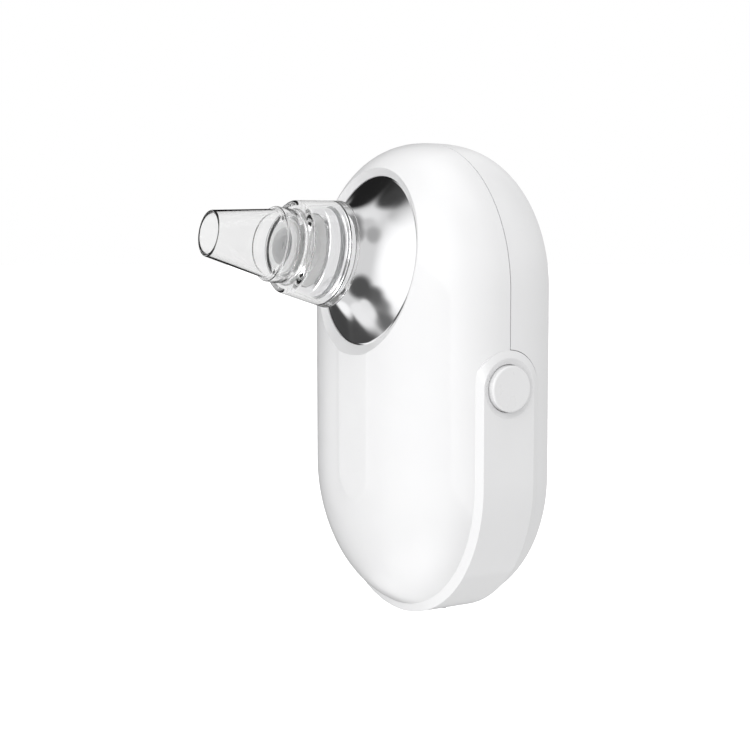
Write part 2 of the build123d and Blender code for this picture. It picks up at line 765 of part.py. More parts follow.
def make_chassis():
    with BuildPart() as chassis:
        with BuildSketch(facing_front(CHASSIS_BACK)) as plate:
            with Locations((0, 2)):
                RectangleRounded(37, 80, 12)
            with Locations(*CASE_POSTS):
                Circle(POST_RADIUS + 1.6)
            with Locations((0, 0)):
                Rectangle(2 * SWITCH_FACE - 2, 12)
        extrude(plate.sketch, amount=CHASSIS_FRONT - CHASSIS_BACK)
        for x, z in CASE_POSTS:
            post(x, z, CHASSIS_BACK - 1, CHASSIS_FRONT + 1, POST_RADIUS + 0.1, mode=Mode.SUBTRACT)
        for side in (1, -1):
            inner = SWITCH_FACE - SWITCH_DEPTH - BOARD
            block(
                sorted((side * (inner - 1.2), side * (inner + BOARD + 0.9))),
                (CHASSIS_FRONT, CHASSIS_FRONT + 2),
                (-6, 6),
            )
        for x, z in BOARD_SCREWS:
            post(x, z, CHASSIS_FRONT, MAIN_BOARD_BACK, 1.8)
            post(x, z, CHASSIS_BACK, MAIN_BOARD_BACK + 1, 0.7, mode=Mode.SUBTRACT)
        for x, z in STRAP_SCREWS:
            post(x, z, CHASSIS_BACK - 1, CHASSIS_FRONT + 1, 0.9, mode=Mode.SUBTRACT)
        block((-4.5, 4.5), (CHASSIS_BACK - 1, CHASSIS_FRONT + 1), (19.5, 22.5), mode=Mode.SUBTRACT)
    save(chassis, "chassis")


def make_main_board():
    with BuildPart() as board:
        with BuildSketch(facing_front(MAIN_BOARD_BACK)) as outline:
            with Locations((0, 26)):
                RectangleRounded(30, 35, 3)
        extrude(outline.sketch, amount=BOARD)
        for x, z in BOARD_SCREWS:
            post(x, z, MAIN_BOARD_BACK - 1, MAIN_BOARD_BACK + 2, 0.9, mode=Mode.SUBTRACT)
    save(board, "main_board")


def make_board_components():
    """Chips, coil, capacitors and connectors on the main board."""
    face = MAIN_BOARD_BACK + BOARD
    with BuildPart() as components:
        block((-9, -2), (face, face + 1.0), (29, 36))
        block((1, 5), (face, face + 0.9), (31, 35))
        block((7.5, 12), (face, face + 1.8), (27, 31.5))
        for row in range(4):
            block((1 + 2.6 * row, 2.4 + 2.6 * row), (face, face + 0.8), (22, 23))
        block((-12.5, -6), (face, face + 2.2), (11, 14.5))
        block((6, 12.5), (face, face + 2.2), (11, 14.5))
    save(components, "board_components")


def make_board_screws():
    face = MAIN_BOARD_BACK + BOARD
    with BuildPart() as screws:
        for x, z in BOARD_SCREWS:
            post(x, z, MAIN_BOARD_BACK - 1.5, face, 0.7)
            post(x, z, face, face + 0.9, 1.4)
    save(screws, "board_screws")


def make_battery_pad():
    with BuildPart() as pad:
        block((-8.5, 8.5), (BATTERY_BACK - 0.5, BATTERY_BACK), (-20, 12))
    save(pad, "battery_pad")


def make_battery_cell():
    with BuildPart() as cell:
        block((-16, 16), (BATTERY_BACK, BATTERY_BACK + 5.9), (-26, 16))
        fillet(cell.edges().filter_by(Axis.Z), radius=1.6)
        block((-12, 12), (BATTERY_BACK + 1.5, BATTERY_BACK + 4.4), (16, 18.5))
    save(cell, "battery_cell")


def make_charge_board():
    with BuildPart() as board:
        block((-9, 9), (CHARGE_BOARD_BACK, CHARGE_BOARD_BACK + BOARD), (-47.3, -39.5))
        for x in CHARGE_POSTS_X:
            post(
                x, CHARGE_POSTS_Z, CHARGE_BOARD_BACK - 1, CHARGE_BOARD_BACK + 2, 0.8, mode=Mode.SUBTRACT
            )
    save(board, "charge_board")


def make_charge_board_screws():
    face = CHARGE_BOARD_BACK + BOARD
    with BuildPart() as screws:
        for x in CHARGE_POSTS_X:
            post(x, CHARGE_POSTS_Z, CHARGE_BOARD_BACK - 3, face, 0.7)
            post(x, CHARGE_POSTS_Z, face, face + 0.9, 1.3)
    save(screws, "charge_board_screws")


def make_charging_port():
    """Metal shell of the oval charging socket."""
    with BuildPart() as port:
        with BuildSketch(Plane.XY.offset(PORT_MOUTH)) as outline:
            with Locations((0, -BAND_DEPTH)):
                SlotOverall(8.94, 3.26)
        extrude(outline.sketch, amount=7.3)
        with BuildSketch(Plane.XY.offset(PORT_MOUTH)) as hollow:
            with Locations((0, -BAND_DEPTH)):
                SlotOverall(8.34, 2.56)
        extrude(hollow.sketch, amount=6.3, mode=Mode.SUBTRACT)
    save(port, "charging_port")


def make_port_tongue():
    with BuildPart() as tongue:
        block((-3.3, 3.3), (BAND_DEPTH - 0.35, BAND_DEPTH + 0.35), (PORT_MOUTH + 1.2, PORT_MOUTH + 6.3))
    save(tongue, "port_tongue")


def make_charge_lamp():
    """Clear rod that carries the light of the charging lamp to the outside."""
    with BuildPart() as lamp:
        disc(LAMP_X, BAND_DEPTH, LAMP_OUTSIDE, -47.5, LAMP_RADIUS - 0.05)
    save(lamp, "charge_light_pipe")


def make_charge_led():
    with BuildPart() as led:
        block(
            (LAMP_X - 0.9, LAMP_X + 0.9),
            (CHARGE_BOARD_BACK + BOARD, CHARGE_BOARD_BACK + BOARD + 2.4),
            (-47.4, -46.2),
        )
    save(led, "charge_led")


def make_wires(label, routes):
    """Insulated wires, each a round tube along straight runs joined by arcs."""
    with BuildPart() as wires:
        for points, bend in routes:
            with BuildLine() as path:
                FilletPolyline(*points, radius=bend)
            with BuildSketch(Plane(origin=path.line @ 0, z_dir=path.line % 0)) as section:
                Circle(WIRE_RADIUS)
            sweep(section.sketch, path=path.line)
    save(wires, label)


# ---------------------------------------------------------------- pump


def make_motor_can():
    with BuildPart() as can:
        disc(MOTOR_X, MOTOR_DEPTH, MOTOR_BOTTOM, MOTOR_TOP, MOTOR_RADIUS)
        disc(MOTOR_X, MOTOR_DEPTH, MOTOR_BOTTOM, MOTOR_TOP - 1, MOTOR_RADIUS - 0.8, mode=Mode.SUBTRACT)
        disc(MOTOR_X, MOTOR_DEPTH, MOTOR_TOP - 2, MOTOR_TOP + 1, 3.0, mode=Mode.SUBTRACT)
    save(can, "motor_can")


def make_motor_end_cap():
    with BuildPart() as cap:
        disc(MOTOR_X, MOTOR_DEPTH, MOTOR_BOTTOM - 2, MOTOR_BOTTOM, MOTOR_RADIUS - 0.3)
        disc(MOTOR_X, MOTOR_DEPTH, MOTOR_BOTTOM, MOTOR_BOTTOM + 1.5, MOTOR_RADIUS - 0.85)
        disc(MOTOR_X, MOTOR_DEPTH, MOTOR_BOTTOM - 1, MOTOR_BOTTOM + 2, 2.0, mode=Mode.SUBTRACT)
    save(cap, "motor_end_cap")


def make_motor_bearings():
    """Plain bushes at both ends of the motor."""
    with BuildPart() as bearings:
        disc(MOTOR_X, MOTOR_DEPTH, MOTOR_BOTTOM - 1, MOTOR_BOTTOM + 1.5, 2.0)
        disc(MOTOR_X, MOTOR_DEPTH, MOTOR_TOP - 2, MOTOR_TOP, 3.0)
        disc(
            MOTOR_X, MOTOR_DEPTH, MOTOR_BOTTOM - 2, MOTOR_TOP + 1, SHAFT_RADIUS + 0.04, mode=Mode.SUBTRACT
        )
    save(bearings, "motor_bearings")


def make_motor_magnets():
    with BuildPart() as magnets:
        disc(MOTOR_X, MOTOR_DEPTH, -32, -16, MOTOR_RADIUS - 0.8)
        disc(MOTOR_X, MOTOR_DEPTH, -33, -15, MOTOR_RADIUS - 2.3, mode=Mode.SUBTRACT)
        block(
            (MOTOR_X - 12, MOTOR_X + 12),
            (MOTOR_DEPTH - 1.5, MOTOR_DEPTH + 1.5),
            (-33, -15),
            mode=Mode.SUBTRACT,
        )
    save(magnets, "motor_magnets")


def make_motor_armature():
    """Slotted core with its windings, on the shaft."""
    with BuildPart() as armature:
        disc(MOTOR_X, MOTOR_DEPTH, -30, -18, MOTOR_RADIUS - 2.8)
        disc(MOTOR_X, MOTOR_DEPTH, -32.5, -30, 5.0)
        disc(MOTOR_X, MOTOR_DEPTH, -18, -15.5, 5.0)
        with BuildSketch(Plane.XY.offset(-30)) as slots:
            with Locations((MOTOR_X, -MOTOR_DEPTH)):
                with PolarLocations(7.2, 5):
                    Circle(1.5)
        extrude(slots.sketch, amount=12, mode=Mode.SUBTRACT)
        disc(MOTOR_X, MOTOR_DEPTH, -33, -15, SHAFT_RADIUS, mode=Mode.SUBTRACT)
    save(armature, "motor_armature")


def make_motor_shaft():
    with BuildPart() as shaft:
        disc(MOTOR_X, MOTOR_DEPTH, MOTOR_BOTTOM - 0.8, ROD_TOP + 0.8, SHAFT_RADIUS)
    save(shaft, "motor_shaft")


def make_pump_eccentric():
    """Weight and offset journal on the end of the shaft."""
    with BuildPart() as eccentric:
        disc(MOTOR_X + THROW, MOTOR_DEPTH, ROD_BOTTOM - 0.4, ROD_TOP + 0.4, 2.8)
        disc(MOTOR_X, MOTOR_DEPTH, ROD_BOTTOM - 1.6, ROD_BOTTOM - 0.4, 4.2)
        disc(MOTOR_X, MOTOR_DEPTH, ROD_BOTTOM - 2, ROD_TOP + 1, SHAFT_RADIUS, mode=Mode.SUBTRACT)
    save(eccentric, "pump_eccentric")


def make_rod_bearing():
    with BuildPart() as bearing:
        disc(MOTOR_X + THROW, MOTOR_DEPTH, ROD_BOTTOM, ROD_TOP, 4.4)
        disc(MOTOR_X + THROW, MOTOR_DEPTH, ROD_BOTTOM - 1, ROD_TOP + 1, 2.84, mode=Mode.SUBTRACT)
    save(bearing, "rod_bearing")


def make_connecting_rod():
    """Rod from the bearing to the disc that pushes the diaphragm."""
    with BuildPart() as rod:
        disc(MOTOR_X + THROW, MOTOR_DEPTH, ROD_BOTTOM, ROD_TOP, 5.8)
        block((DIAPHRAGM_FACE + 1.2, MOTOR_X), (MOTOR_DEPTH - 1.8, MOTOR_DEPTH + 1.8), (ROD_BOTTOM, ROD_TOP))
        stub(-1, -DIAPHRAGM_FACE - 1.4, -DIAPHRAGM_FACE - 0.05, 4.6, MOTOR_DEPTH, ROD_LEVEL)
        disc(MOTOR_X + THROW, MOTOR_DEPTH, ROD_BOTTOM - 1, ROD_TOP + 1, 4.4, mode=Mode.SUBTRACT)
    save(rod, "connecting_rod")


def make_pump_housing():
    """Crankcase on the motor's face, open towards the diaphragm."""
    with BuildPart() as housing:
        block((DIAPHRAGM_FACE + 1.5, MOTOR_X + 9.5), (MOTOR_DEPTH - 9.5, MOTOR_DEPTH + 9.5), (MOTOR_TOP, 1.0))
        block(
            (DIAPHRAGM_FACE + 1.6, MOTOR_X + 8.2),
            (MOTOR_DEPTH - 8.2, MOTOR_DEPTH + 8.2),
            (MOTOR_TOP + 1.0, -0.2),
            mode=Mode.SUBTRACT,
        )
        block(
            (DIAPHRAGM_FACE, DIAPHRAGM_FACE + 1.5),
            (MOTOR_DEPTH - HEAD_HALF, MOTOR_DEPTH + HEAD_HALF),
            (ROD_LEVEL - HEAD_HALF, ROD_LEVEL + HEAD_HALF),
        )
        stub(-1, -DIAPHRAGM_FACE - 2, -DIAPHRAGM_FACE + 1, 7.0, MOTOR_DEPTH, ROD_LEVEL, mode=Mode.SUBTRACT)
        disc(MOTOR_X, MOTOR_DEPTH, MOTOR_TOP - 1, MOTOR_TOP + 1.5, 5.2, mode=Mode.SUBTRACT)
    save(housing, "pump_housing")


def make_pump_diaphragm():
    with BuildPart() as diaphragm:
        stub(-1, -DIAPHRAGM_FACE, -DIAPHRAGM_FACE + 0.8, DIAPHRAGM_RADIUS, MOTOR_DEPTH, ROD_LEVEL)
    save(diaphragm, "pump_diaphragm")


def head_block(low, high):
    """Square slice of the pump head between two distances from the diaphragm's face."""
    block(
        (DIAPHRAGM_FACE - high, DIAPHRAGM_FACE - low),
        (MOTOR_DEPTH - HEAD_HALF, MOTOR_DEPTH + HEAD_HALF),
        (ROD_LEVEL - HEAD_HALF, ROD_LEVEL + HEAD_HALF),
    )


def make_pump_chamber():
    """Plate with the working chamber and its two valve ports."""
    with BuildPart() as chamber:
        head_block(0.8, 4.4)
        stub(-1, -DIAPHRAGM_FACE, -DIAPHRAGM_FACE + 3.4, 6.6, MOTOR_DEPTH, ROD_LEVEL, mode=Mode.SUBTRACT)
        for offset in (-3.2, 3.2):
            stub(
                -1, -DIAPHRAGM_FACE, -DIAPHRAGM_FACE + 5, 0.9, MOTOR_DEPTH + offset, ROD_LEVEL,
                mode=Mode.SUBTRACT,
            )
    save(chamber, "pump_chamber_plate")


def make_valve_disc():
    """Silicone sheet with a flap over each port."""
    with BuildPart() as valve:
        head_block(4.4, 5.2)
        for offset in (-3.2, 3.2):
            with BuildSketch(facing_right(DIAPHRAGM_FACE - 5.2)) as slot:
                with Locations((-MOTOR_DEPTH - offset, ROD_LEVEL)):
                    Circle(2.4)
                    Circle(2.0, mode=Mode.SUBTRACT)
                    with Locations((0, -2.0)):
                        Rectangle(1.6, 1.6, mode=Mode.SUBTRACT)
            extrude(slot.sketch, amount=0.8, mode=Mode.SUBTRACT)
    save(valve, "valve_disc")


def make_pump_head():
    """Cover with the suction and exhaust passages and their nipples."""
    with BuildPart() as head:
        head_block(5.2, HEAD_END)
        for depth in (SUCTION_PORT_DEPTH, EXHAUST_PORT_DEPTH):
            disc(PORT_X, depth, ROD_LEVEL + HEAD_HALF, NIPPLE_TOP, TUBE_INNER)
        for depth in (SUCTION_PORT_DEPTH, EXHAUST_PORT_DEPTH):
            disc(PORT_X, depth, ROD_LEVEL, NIPPLE_TOP + 1, 1.1, mode=Mode.SUBTRACT)
        for depth, offset in ((SUCTION_PORT_DEPTH, 3.2), (EXHAUST_PORT_DEPTH, -3.2)):
            stub(-1, 15, 18.2, 2.4, MOTOR_DEPTH + offset, ROD_LEVEL, mode=Mode.SUBTRACT)
    save(head, "pump_head")


def make_pump_screws():
    """Screws that hold the pump head to the crankcase."""
    with BuildPart() as screws:
        for depth in (MOTOR_DEPTH - HEAD_SCREW_OFFSET, MOTOR_DEPTH + HEAD_SCREW_OFFSET):
            for height in (ROD_LEVEL - HEAD_SCREW_OFFSET, ROD_LEVEL + HEAD_SCREW_OFFSET):
                stub(-1, -DIAPHRAGM_FACE + HEAD_END, -DIAPHRAGM_FACE + HEAD_END + 0.7, 1.3, depth, height)
    save(screws, "pump_screws")


def make_pump_dampers():
    """Two rubber rings between the motor and its strap."""
    with BuildPart() as dampers:
        for low in (-32.0, -20.0):
            disc(MOTOR_X, MOTOR_DEPTH, low, low + 4, MOTOR_RADIUS + 0.9)
            disc(MOTOR_X, MOTOR_DEPTH, low - 1, low + 5, MOTOR_RADIUS, mode=Mode.SUBTRACT)
    save(dampers, "pump_dampers")


def make_pump_strap():
    """Metal hoop that clamps the motor on the chassis."""
    outer = MOTOR_RADIUS + 1.4
    with BuildPart() as strap:
        for low in (-32.0, -20.0):
            disc(MOTOR_X, MOTOR_DEPTH, low, low + 4, outer)
            block((MOTOR_X - outer, MOTOR_X + outer), (CHASSIS_FRONT, MOTOR_DEPTH), (low, low + 4))
            for x, z in STRAP_SCREWS:
                if low < z < low + 4:
                    block((x - 1.9, x + 1.9), (CHASSIS_FRONT, CHASSIS_FRONT + 0.5), (low, low + 4))
            disc(MOTOR_X, MOTOR_DEPTH, low - 1, low + 5, MOTOR_RADIUS + 0.9, mode=Mode.SUBTRACT)
            block(
                (MOTOR_X - MOTOR_RADIUS - 0.9, MOTOR_X + MOTOR_RADIUS + 0.9),
                (CHASSIS_FRONT - 1, MOTOR_DEPTH),
                (low - 1, low + 5),
                mode=Mode.SUBTRACT,
            )
        for x, z in STRAP_SCREWS:
            post(x, z, CHASSIS_FRONT - 1, CHASSIS_FRONT + 1, 0.9, mode=Mode.SUBTRACT)
    save(strap, "pump_strap")


def make_strap_screws():
    with BuildPart() as screws:
        for x, z in STRAP_SCREWS:
            post(x, z, CHASSIS_BACK, CHASSIS_FRONT + 0.5, 0.85)
            post(x, z, CHASSIS_FRONT + 0.5, CHASSIS_FRONT + 1.3, 1.5)
    save(screws, "strap_screws")


def make_suction_tube():
    """Silicone tube from the manifold to the pump's suction nipple."""
    route = [
        (0, -SUCTION_DEPTH, SUCTION_TOP + 4.2),
        (0, -SUCTION_DEPTH, TUBE_LEVEL),
        (PORT_X, -SUCTION_PORT_DEPTH, TUBE_LEVEL),
        (PORT_X, -SUCTION_PORT_DEPTH, ROD_LEVEL + HEAD_HALF + 0.3),
    ]
    with BuildPart() as tube:
        with BuildLine() as path:
            FilletPolyline(*route, radius=TUBE_BEND)
        with BuildSketch(Plane(origin=path.line @ 0, z_dir=path.line % 0)) as wall:
            Circle(TUBE_OUTER)
            Circle(TUBE_INNER, mode=Mode.SUBTRACT)
        sweep(wall.sketch, path=path.line)
    save(tube, "suction_tube")


def make_exhaust_tube():
    with BuildPart() as tube:
        disc(PORT_X, EXHAUST_PORT_DEPTH, ROD_LEVEL + HEAD_HALF + 0.3, MUFFLER_BOTTOM, TUBE_OUTER)
        disc(PORT_X, EXHAUST_PORT_DEPTH, ROD_LEVEL, MUFFLER_BOTTOM + 1, TUBE_INNER, mode=Mode.SUBTRACT)
    save(tube, "exhaust_tube")


def make_exhaust_muffler():
    """Foam block that quiets the pump's exhaust."""
    with BuildPart() as muffler:
        block(
            (PORT_X - 5, PORT_X + 2.6),
            (EXHAUST_PORT_DEPTH - 3.2, EXHAUST_PORT_DEPTH + 3.2),
            (MUFFLER_BOTTOM, MUFFLER_BOTTOM + 6),
        )
        fillet(muffler.edges().filter_by(Axis.Y), radius=0.8)
    save(muffler, "exhaust_muffler")


os.makedirs("parts", exist_ok=True)
make_front_shell()
make_rear_shell()
make_case_screws()
make_screw_plugs()
for side, name in ((1, "power"), (-1, "mode")):
    make_button(side, f"{name}_button")
    make_button_boot(side, f"{name}_button_boot")
    make_switch(side, f"{name}_switch")
    make_switch_plunger(side, f"{name}_switch_plunger")
    make_switch_board(side, f"{name}_switch_board")
make_nozzle_horn()
make_horn_gasket()
make_collection_cup()
make_cup_seal()
make_suction_tip()
make_tip_seal()
make_filter_seat()
make_filter_sponge()
make_suction_manifold()
make_chassis()
make_main_board()
make_board_components()
make_board_screws()
make_battery_pad()
make_battery_cell()
make_charge_board()
make_charge_board_screws()
make_charging_port()
make_port_tongue()
make_charge_lamp()
make_charge_led()
make_motor_can()
make_motor_end_cap()
make_motor_bearings()
make_motor_magnets()
make_motor_armature()
make_motor_shaft()
make_pump_eccentric()
make_rod_bearing()
make_connecting_rod()
make_pump_housing()
make_pump_diaphragm()
make_pump_chamber()
make_valve_disc()
make_pump_head()
make_pump_screws()
make_pump_dampers()
make_pump_strap()
make_strap_screws()
make_suction_tube()
make_exhaust_tube()
make_exhaust_muffler()
make_wires("battery_wires", BATTERY_WIRES)
make_wires("motor_wires", MOTOR_WIRES)
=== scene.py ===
import json
import math

import bmesh
import bpy
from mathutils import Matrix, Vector


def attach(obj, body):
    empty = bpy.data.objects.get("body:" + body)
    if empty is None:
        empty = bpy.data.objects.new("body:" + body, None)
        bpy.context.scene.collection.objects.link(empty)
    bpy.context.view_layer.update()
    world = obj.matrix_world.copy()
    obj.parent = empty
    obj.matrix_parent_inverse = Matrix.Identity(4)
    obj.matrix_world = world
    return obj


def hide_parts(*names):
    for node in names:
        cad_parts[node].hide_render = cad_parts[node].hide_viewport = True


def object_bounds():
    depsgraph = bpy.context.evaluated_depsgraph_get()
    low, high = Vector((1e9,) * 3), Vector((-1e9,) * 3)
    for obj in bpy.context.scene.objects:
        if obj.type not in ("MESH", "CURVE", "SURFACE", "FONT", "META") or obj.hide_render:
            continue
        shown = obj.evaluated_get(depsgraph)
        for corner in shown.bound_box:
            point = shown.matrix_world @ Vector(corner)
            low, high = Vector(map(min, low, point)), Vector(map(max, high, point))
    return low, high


# Hand-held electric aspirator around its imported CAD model. Metres; +Z up the body, the nozzle towards -Y.

MM = 0.001

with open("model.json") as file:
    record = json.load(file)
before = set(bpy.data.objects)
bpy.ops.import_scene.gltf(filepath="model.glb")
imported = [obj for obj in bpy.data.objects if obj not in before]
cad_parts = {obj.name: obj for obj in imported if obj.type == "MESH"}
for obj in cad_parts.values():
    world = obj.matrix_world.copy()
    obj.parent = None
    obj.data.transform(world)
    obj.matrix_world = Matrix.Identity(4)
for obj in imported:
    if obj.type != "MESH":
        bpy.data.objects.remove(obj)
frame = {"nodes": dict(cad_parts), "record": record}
CAD_BOX = [list(corner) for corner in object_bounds()]

# Nozzle axis, as in the CAD: it leaves the parting plane and tilts up. Distances and radii are in mm.
NOZZLE_TILT = math.radians(8.7)
NOZZLE_ORIGIN = Vector((0, -18.2, 23.95)) * MM
NOZZLE_AXIS = Vector((0, -math.cos(NOZZLE_TILT), math.sin(NOZZLE_TILT)))
NOZZLE_SIDE = Vector((1, 0, 0))
NOZZLE_UP = NOZZLE_SIDE.cross(NOZZLE_AXIS)

HORN_RIM, HORN_RIM_RADIUS = 14.8, 18.4
HORN_THROAT, HORN_THROAT_RADIUS = 25.5, 10.3
HORN_POWER = 2.2
HORN_SKIN_RADIAL, HORN_SKIN_AXIAL = 0.9, 1.3
FLANGE_RADIUS, FLANGE_REAR, FLANGE_FRONT = 19.6, 12.0, 13.0
NECK_RADIUS, NECK_BORE, NECK_END = 9.3, 7.8, 30.5
NECK_GROOVE_REAR, NECK_GROOVE_FRONT, NECK_GROOVE_RADIUS = 26.85, 27.95, 8.65
CUP_REAR, CUP_REAR_RADIUS = 24.3, 11.6
CUP_FRONT, CUP_FRONT_RADIUS = 35.4, 9.85
CUP_WALL, CUP_REBATE, CUP_FACE, REBATE_WALL = 1.2, 1.7, 1.5, 0.8
SOCKET_RADIUS, SOCKET_BOTTOM, SOCKET_WALL = 7.1, 33.2, 0.9
STEP_FRONT, STEP_RADIUS = 39.5, 7.95
TIP_END, TIP_MOUTH_RADIUS, TIP_WALL = 53.8, 4.8, 0.6
TIP_BASE_RADIUS, TIP_BORE_RADIUS, PLUG_RADIUS = 7.35, 6.0, 6.9
PLUG_GROOVE_REAR, PLUG_GROOVE_FRONT, PLUG_GROOVE_RADIUS = 34.05, 34.95, 6.25
RING_BORE_RADIUS = 7.1
# The mouth's straight stretch is shorter than in the CAD, for the thin outline that a moulded lip shows.
MOUTH_LAND = 0.6
LIP_ROUND = 0.28
TINY_GAP = 0.05

# ---------------------------------------------------------------- materials


class Shader:
    """A Principled material with a few procedural textures on it."""

    def __init__(self, name, **sockets):
        self.material = bpy.data.materials.new(name)
        self.material.use_nodes = True
        self.tree = self.material.node_tree
        self.bsdf = self.tree.nodes["Principled BSDF"]
        for socket, value in sockets.items():
            self.bsdf.inputs[socket.replace("_", " ")].default_value = value
        self.coords = self.tree.nodes.new("ShaderNodeTexCoord").outputs["Object"]

    def link(self, output, socket):
        self.tree.links.new(output, socket)

    def noise(self, size_mm, detail=2.0, roughness=0.5):
        """Noise whose blobs are about this large."""
        node = self.tree.nodes.new("ShaderNodeTexNoise")
        node.inputs["Scale"].default_value = 1 / (size_mm * MM)
        node.inputs["Detail"].default_value = detail
        node.inputs["Roughness"].default_value = roughness
        self.link(self.coords, node.inputs["Vector"])
        return node.outputs["Fac"]

    def spread(self, factor, low, high):
        """Factor from 0.3..0.7 stretched to low..high."""
        node = self.tree.nodes.new("ShaderNodeMapRange")
        node.inputs["From Min"].default_value = 0.3
        node.inputs["From Max"].default_value = 0.7
        node.inputs["To Min"].default_value = low
        node.inputs["To Max"].default_value = high
        self.link(factor, node.inputs["Value"])
        return node.outputs["Result"]

    def tint(self, factor, dark, light):
        """Base colour that wanders between two colours."""
        node = self.tree.nodes.new("ShaderNodeMix")
        node.data_type = "RGBA"
        node.inputs["A"].default_value = (*dark, 1)
        node.inputs["B"].default_value = (*light, 1)
        self.link(self.spread(factor, 0, 1), node.inputs["Factor"])
        self.link(node.outputs["Result"], self.bsdf.inputs["Base Color"])

    def roughen(self, factor, low, high):
        self.link(self.spread(factor, low, high), self.bsdf.inputs["Roughness"])

    def bump(self, factor, depth_mm, strength=1.0):
        node = self.tree.nodes.new("ShaderNodeBump")
        node.inputs["Distance"].default_value = depth_mm * MM
        node.inputs["Strength"].default_value = strength
        self.link(factor, node.inputs["Height"])
        self.link(node.outputs["Normal"], self.bsdf.inputs["Normal"])


def moulded(name, colour, low, high, grain_mm=0.35, grain_depth=0.004, **sockets):
    """Moulded plastic: faint mottling, uneven gloss and a fine grain."""
    shader = Shader(name, **sockets)
    dark = tuple(c * 0.985 for c in colour)
    shader.tint(shader.noise(9.0), dark, colour)
    shader.roughen(shader.noise(4.0, detail=4.0), low, high)
    shader.bump(shader.noise(grain_mm, detail=3.0), grain_depth)
    return shader.material


def polished(name, colour, low, high):
    """Bright plated metal with a barely uneven polish."""
    shader = Shader(name, Metallic=1.0)
    shader.tint(shader.noise(14.0), tuple(c * 0.97 for c in colour), colour)
    shader.roughen(shader.noise(3.0, detail=5.0), low, high)
    shader.bump(shader.noise(5.0), 0.003, 0.4)
    return shader.material


def clear(name, colour, low, high, **sockets):
    """Clear moulded plastic."""
    shader = Shader(name, Transmission_Weight=1.0, **sockets)
    shader.tint(shader.noise(12.0), tuple(c * 0.99 for c in colour), colour)
    shader.roughen(shader.noise(5.0, detail=4.0), low, high)
    shader.bump(shader.noise(6.0), 0.002, 0.3)
    return shader.material


def brushed(name, colour, low, high):
    """Metal with a fine uneven grain."""
    shader = Shader(name, Metallic=1.0)
    shader.tint(shader.noise(2.0, detail=6.0), tuple(c * 0.8 for c in colour), colour)
    shader.roughen(shader.noise(0.8, detail=6.0), low, high)
    shader.bump(shader.noise(0.3, detail=4.0), 0.004)
    return shader.material


def foam(name, colour):
    """Open foam whose dark pores are painted shade in its colour."""
    shader = Shader(name, Roughness=0.95)
    # Painted shade: noise darkens the colour in small spots that stand for shaded pores.
    shader.tint(shader.noise(0.5, detail=5.0), tuple(c * 0.45 for c in colour), colour)
    shader.bump(shader.noise(0.45, detail=5.0), 0.25)
    return shader.material


WHITE = (0.8, 0.8, 0.805)
GLAZE = {"Coat_Weight": 0.25, "Coat_Roughness": 0.15}
SILICONE = {"Transmission_Weight": 0.6, "IOR": 1.41}
MATERIALS = {
    "white_shell": moulded("white_shell", WHITE, 0.28, 0.34, **GLAZE),
    "white_button": moulded("white_button", WHITE, 0.26, 0.32, **GLAZE),
    "white_seat": moulded("white_seat", (0.78, 0.78, 0.78), 0.3, 0.4),
    "white_plug": moulded("white_plug", (0.74, 0.74, 0.74), 0.6, 0.7),
    "polished_metal": polished("polished_metal", (0.9, 0.9, 0.91), 0.1, 0.16),
    "clear_plastic": clear("clear_plastic", (1.0, 1.0, 1.0), 0.0, 0.02, IOR=1.46),
    "seal_silicone": moulded("seal_silicone", (0.75, 0.76, 0.77), 0.35, 0.45, **SILICONE),
    "black_rubber": moulded("black_rubber", (0.03, 0.03, 0.032), 0.6, 0.75),
    "grey_plastic": moulded("grey_plastic", (0.5, 0.51, 0.52), 0.35, 0.45),
    "foam": foam("foam", (0.4, 0.41, 0.42)),
    "switch_plastic": moulded("switch_plastic", (0.03, 0.03, 0.035), 0.35, 0.5),
    "plunger_plastic": moulded("plunger_plastic", (0.6, 0.6, 0.56), 0.4, 0.5),
    "circuit_board": moulded("circuit_board", (0.02, 0.16, 0.07), 0.25, 0.4),
    "electronics": moulded("electronics", (0.03, 0.03, 0.035), 0.3, 0.5),
    "screw_steel": brushed("screw_steel", (0.5, 0.5, 0.52), 0.25, 0.4),
    "bright_steel": brushed("bright_steel", (0.68, 0.68, 0.7), 0.2, 0.35),
    "bronze": brushed("bronze", (0.5, 0.3, 0.12), 0.35, 0.5),
    "magnet": moulded("magnet", (0.06, 0.06, 0.065), 0.5, 0.7),
    "copper_iron": brushed("copper_iron", (0.55, 0.26, 0.12), 0.35, 0.5),
    "brass_weight": brushed("brass_weight", (0.7, 0.52, 0.22), 0.2, 0.35),
    "pump_plastic": moulded("pump_plastic", (0.68, 0.67, 0.62), 0.35, 0.5),
    "battery_wrap": brushed("battery_wrap", (0.6, 0.62, 0.66), 0.3, 0.45),
    "wire_jacket": moulded("wire_jacket", (0.45, 0.02, 0.02), 0.4, 0.5),
}

slots = {s["node"]: s["material_slot"] for s in frame["record"]["subparts"]}
for node, obj in frame["nodes"].items():
    for index in range(len(obj.material_slots)):
        obj.material_slots[index].material = MATERIALS[slots[node]]

# ---------------------------------------------------------------- nozzle, as turned pieces
# Outline points are (radius, distance along the nozzle, rounding of the corner), in mm.


def on_nozzle(radius, distance, angle):
    """Point in metres at this radius and distance along the nozzle, both in mm."""
    out = NOZZLE_SIDE * math.cos(angle) + NOZZLE_UP * math.sin(angle)
    return NOZZLE_ORIGIN + NOZZLE_AXIS * (distance * MM) + out * (radius * MM)


